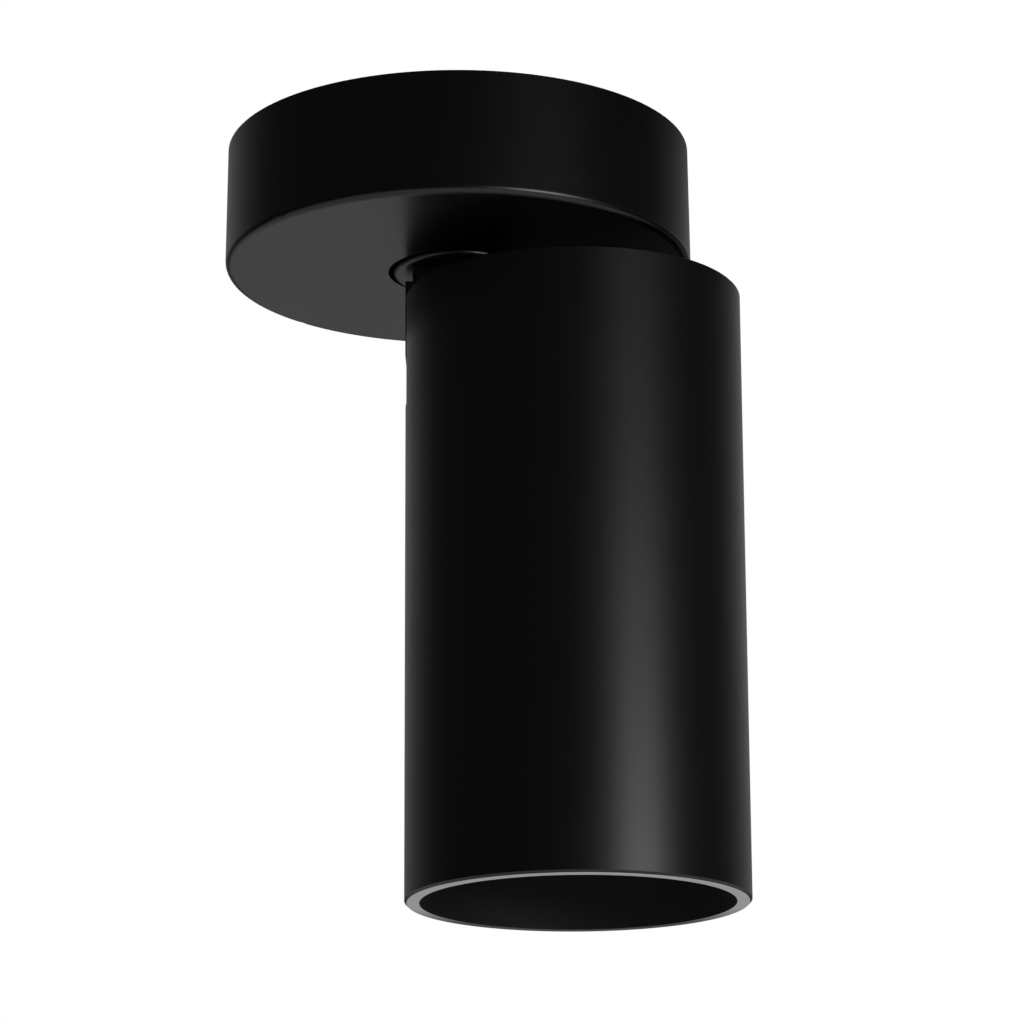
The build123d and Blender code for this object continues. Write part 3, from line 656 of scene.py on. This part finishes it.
class SPOTLIGHT_OT_lamp(SpotlightOperator, bpy.types.Operator):
    """Build the lamp's optics and light sources, and finish its body"""

    bl_idname = "spotlight.lamp"
    bl_label = "Lamp"

    def execute(self, context):
        sizes = context.scene.spotlight_lamp
        dress(cast_aluminium("lamp_aluminium"), "lamp_shell")
        dress(moulded_plastic("lamp_white", (0.82, 0.82, 0.80, 1.0), roughness=0.4), "lamp_base")
        dress(plated_steel("pin_steel", level=0.66, roughness=0.22), "lamp_pins")
        dress(moulded_plastic("board_white", (0.78, 0.78, 0.74, 1.0), roughness=0.35), "light_board")
        low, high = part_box("lamp_lens")
        middle = (low + high) / 2
        board_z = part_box("light_board")[0].z
        spots = [(middle.x, middle.y)]
        spots += [(middle.x + sizes.optic_circle * cos(2 * pi * number / sizes.optic_count),
                   middle.y + sizes.optic_circle * sin(2 * pi * number / sizes.optic_count))
                  for number in range(sizes.optic_count)]
        lens = self.make_lens(sizes, low, high, spots, board_z)
        optics = stand("lamp_optics", lens, clear_lens("optic_plastic", roughness=0.06))
        seat(optics, "lamp", "lens", "lamp_lens")
        chips = self.make_chips(sizes, spots, board_z)
        seat(stand("light_chips", chips, phosphor("chip_phosphor")), "lamp", "board")
        ribs = self.make_ribs(sizes)
        seat(stand("lamp_ribs", ribs, cast_aluminium("rib_aluminium")), "lamp", "lamp_aluminium")
        return {"FINISHED"}

    def make_lens(self, sizes, low, high, spots, board_z):
        """A disc with a rounded edge, and a cup with a well in its end behind it for each light source."""
        middle = (low + high) / 2
        radius = (high.x - low.x) / 2
        disc = bmesh.new()
        profile = [(0, high.z), (radius, high.z), (radius, low.z + LENS_EDGE), (radius - LENS_EDGE, low.z)]
        turned(disc, profile + [(0, low.z)], LENS_STEPS, (middle.x, middle.y, 0))
        parts = [disc]
        depth = board_z - CUP_TO_BOARD - high.z
        profile = [(0, high.z + CUP_GAP)]
        for ring in range(CUP_RINGS + 1):
            share = ring / CUP_RINGS
            cup_radius = sizes.optic_radius * (1 - CUP_NARROWING * share ** CUP_CURVE)
            profile.append((cup_radius, high.z + CUP_GAP + depth * share))
        end = profile[-1][1]
        well = WELL_RADIUS * sizes.optic_radius
        profile += [(well, end), (0.9 * well, end - 0.45 * depth), (0, end - 0.55 * depth)]
        for x, y in spots:
            cup = bmesh.new()
            turned(cup, profile, CUP_STEPS, (x, y, 0))
            parts.append(cup)
        return gather(parts)

    def make_chips(self, sizes, spots, board_z):
        """A square light source under each cup, seated on the board."""
        parts = []
        for x, y in spots:
            chip = bmesh.new()
            bmesh.ops.create_cube(chip, size=1.0)
            bmesh.ops.scale(chip, verts=chip.verts, vec=(sizes.chip_size, sizes.chip_size, CHIP_HEIGHT))
            bmesh.ops.bevel(chip, geom=chip.edges[:], offset=CHIP_BEVEL, affect="EDGES", segments=2,
                            profile=0.5, material=-1)
            bmesh.ops.translate(chip, verts=chip.verts, vec=(x, y, board_z - CHIP_HEIGHT / 2))
            parts.append(chip)
        return gather(parts)

    def make_ribs(self, sizes):
        """Thin ribs that run up the lamp's cone, which starts above the band round its front."""
        low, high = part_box("lamp_shell")
        base_low, base_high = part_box("lamp_base")
        centre = (low + high) / 2
        rim = (high.x - low.x) / 2
        neck = (base_high.x - base_low.x) / 2
        rib_low = low.z + BAND_HEIGHT + RIB_START
        foot = rim + (neck - rim) * RIB_START / (high.z - low.z - BAND_HEIGHT)
        parts = []
        for number in range(sizes.rib_count):
            rib = bmesh.new()
            corners = []
            for side in (-RIB_HALF, RIB_HALF):
                corners.append([rib.verts.new((radius, side, z)) for radius, z in (
                    (foot - RIB_SUNK, rib_low),
                    (foot + 0.02 * MM, rib_low),
                    (foot - 0.5 * MM + sizes.rib_height * 0.6, rib_low + 1.5 * MM),
                    (neck + sizes.rib_height, high.z - 0.6 * MM),
                    (neck - RIB_SUNK, high.z - 0.05 * MM),
                )])
            near, far = corners
            rib.faces.new(near)
            rib.faces.new(far[::-1])
            for index in range(len(near)):
                after = (index + 1) % len(near)
                rib.faces.new((near[index], far[index], far[after], near[after]))
            bmesh.ops.recalc_face_normals(rib, faces=rib.faces)
            turn = Matrix.Rotation(2 * pi * number / sizes.rib_count, 3, "Z")
            bmesh.ops.rotate(rib, verts=rib.verts, cent=(0, 0, 0), matrix=turn)
            bmesh.ops.translate(rib, verts=rib.verts, vec=(centre.x, centre.y, 0))
            parts.append(rib)
        return gather(parts)


# ---------------------------------------------------------------- the studio
class SPOTLIGHT_OT_stage(SpotlightOperator, bpy.types.Operator):
    """Build the floor, the room, the lights and the camera"""

    bl_idname = "spotlight.stage"
    bl_label = "Studio"

    def execute(self, context):
        studio = context.scene.spotlight_studio
        self.make_floor(studio)
        self.make_room(context, studio)
        self.make_key(context, studio, "key_light", studio.key_width, studio.key_level)
        self.make_key(context, studio, "key_halo", studio.halo_width, studio.halo_level)
        self.make_camera(context)
        return {"FINISHED"}

    def make_floor(self, studio):
        """A pale floor that fades out, so that its edge doesn't show."""
        material, shader = finish("pale_floor")
        distance = shader.node("ShaderNodeVectorMath", {"operation": "LENGTH"}, {0: shader.place()}, "Value")
        fade = distance.ramp(*FLOOR_FADE)
        matt = shader.node("ShaderNodeBsdfDiffuse", {}, {"Color": grey(0.92)})
        clear = shader.node("ShaderNodeBsdfTransparent", {}, {})
        mixed = shader.node("ShaderNodeMixShader", {}, {0: fade, 1: matt, 2: clear})
        shader.node("ShaderNodeOutputMaterial", {}, {"Surface": mixed}, None)
        bm = bmesh.new()
        bmesh.ops.create_circle(bm, cap_ends=True, segments=96, radius=FLOOR_RADIUS)
        bmesh.ops.translate(bm, verts=bm.verts, vec=(0, 0, studio.floor_drop))
        stand("floor", bm, material)

    def make_room(self, context, studio):
        """White where it is looked at, and a dim studio, lighter at the back, where surfaces mirror it."""
        world = bpy.data.worlds.new("studio_room")
        context.scene.world = world
        shader = Shader(world)
        paths = shader.node("ShaderNodeLightPath", {}, {}, "Is Camera Ray").socket.node.outputs
        seen = Sock(shader, paths["Is Camera Ray"]) + Sock(shader, paths["Is Transmission Ray"])
        mirrored = Sock(shader, paths["Is Glossy Ray"])
        # A direction's parts: x to the right, y to the back and z up, each from -1 to 1
        x, y, z = shader.axes(shader.node("ShaderNodeTexCoord", {}, {}, "Generated"))
        back_wall = y.ramp(0.35, 0.95, 0.055, 0.28)
        above_horizon = z.ramp(-0.02, 0.1, 0.15, 1.0)
        high_part = z.ramp(0.18, 0.24, 0.92, 1.2)
        right_part = x.ramp(0.0, 0.3, 1.0, 1.25)
        ceiling_dark = z.ramp(0.32, 0.36) * x.ramp(0.0, 0.25, 0.35, 0.8)
        around = back_wall * above_horizon * high_part * right_part * (1.0 - ceiling_dark)
        floor_band = z.ramp(-0.15, -0.3) * z.ramp(-0.62, -0.42)
        below = floor_band * y.ramp(0.5, 0.9, 0.0, 0.36)
        level = seen + mirrored * (around + below) + (1.0 - seen - mirrored) * studio.fill_level
        light = shader.node("ShaderNodeBackground", {}, {"Color": grey(1.0), "Strength": level})
        shader.node("ShaderNodeOutputWorld", {}, {"Surface": light}, None)
        world.cycles.sampling_method = "NONE"

    def make_key(self, context, studio, name, width, level):
        """A tall soft light at the front right, of a given brightness on its face."""
        height = studio.key_high - studio.key_low
        lamp = bpy.data.lights.new(name, "AREA")
        lamp.shape = "RECTANGLE"
        lamp.size = width
        lamp.size_y = height
        lamp.energy = pi * width * height * level
        made = bpy.data.objects.new(name, lamp)
        made.location = (
            studio.key_distance * sin(studio.key_azimuth),
            -studio.key_distance * cos(studio.key_azimuth),
            (studio.key_high + studio.key_low) / 2,
        )
        made.rotation_euler = (radians(90), 0, studio.key_azimuth)
        context.scene.collection.objects.link(made)

    def make_camera(self, context):
        lens = bpy.data.cameras.new("camera")
        lens.lens = CAMERA_LENS
        lens.sensor_width = SENSOR_WIDTH
        lens.sensor_fit = "HORIZONTAL"
        made = bpy.data.objects.new("camera", lens)
        pitch = Matrix.Rotation(CAMERA_PITCH, 4, "X")
        roll = Matrix.Rotation(CAMERA_ROLL, 4, "Z")
        made.matrix_world = Matrix.Translation(CAMERA_PLACE) @ pitch @ roll
        context.scene.collection.objects.link(made)
        context.scene.camera = made
        context.scene.view_settings.view_transform = "Standard"


STEPS = (
    SPOTLIGHT_OT_canopy,
    SPOTLIGHT_OT_screws,
    SPOTLIGHT_OT_joint,
    SPOTLIGHT_OT_head,
    SPOTLIGHT_OT_lamp,
    SPOTLIGHT_OT_stage,
)
GROUPS = {
    "spotlight_finishes": SpotlightFinishes,
    "spotlight_lamp": SpotlightLamp,
    "spotlight_studio": SpotlightStudio,
}


class SPOTLIGHT_PT_panel(bpy.types.Panel):
    """Lists the steps and the sizes"""

    bl_idname = "SPOTLIGHT_PT_panel"
    bl_label = "Ceiling Spotlight"
    bl_space_type = "VIEW_3D"
    bl_region_type = "UI"
    bl_category = "Spotlight"

    def draw(self, context):
        for step in STEPS:
            self.layout.operator(step.bl_idname)
        for name, group in GROUPS.items():
            box = self.layout.box()
            for setting in group.__annotations__:
                box.prop(getattr(context.scene, name), setting)


def register():
    for group in GROUPS.values():
        bpy.utils.register_class(group)
    for name, group in GROUPS.items():
        setattr(bpy.types.Scene, name, bpy.props.PointerProperty(type=group))
    for step in STEPS:
        bpy.utils.register_class(step)
    bpy.utils.register_class(SPOTLIGHT_PT_panel)


def unregister():
    bpy.utils.unregister_class(SPOTLIGHT_PT_panel)
    for step in reversed(STEPS):
        bpy.utils.unregister_class(step)
    for name, group in reversed(GROUPS.items()):
        delattr(bpy.types.Scene, name)
        bpy.utils.unregister_class(group)


def main():
    register()
    bpy.ops.spotlight.canopy()
    bpy.ops.spotlight.screws()
    bpy.ops.spotlight.joint()
    bpy.ops.spotlight.head()
    bpy.ops.spotlight.lamp()
    bpy.ops.spotlight.stage()


if __name__ == "__main__":
    main()
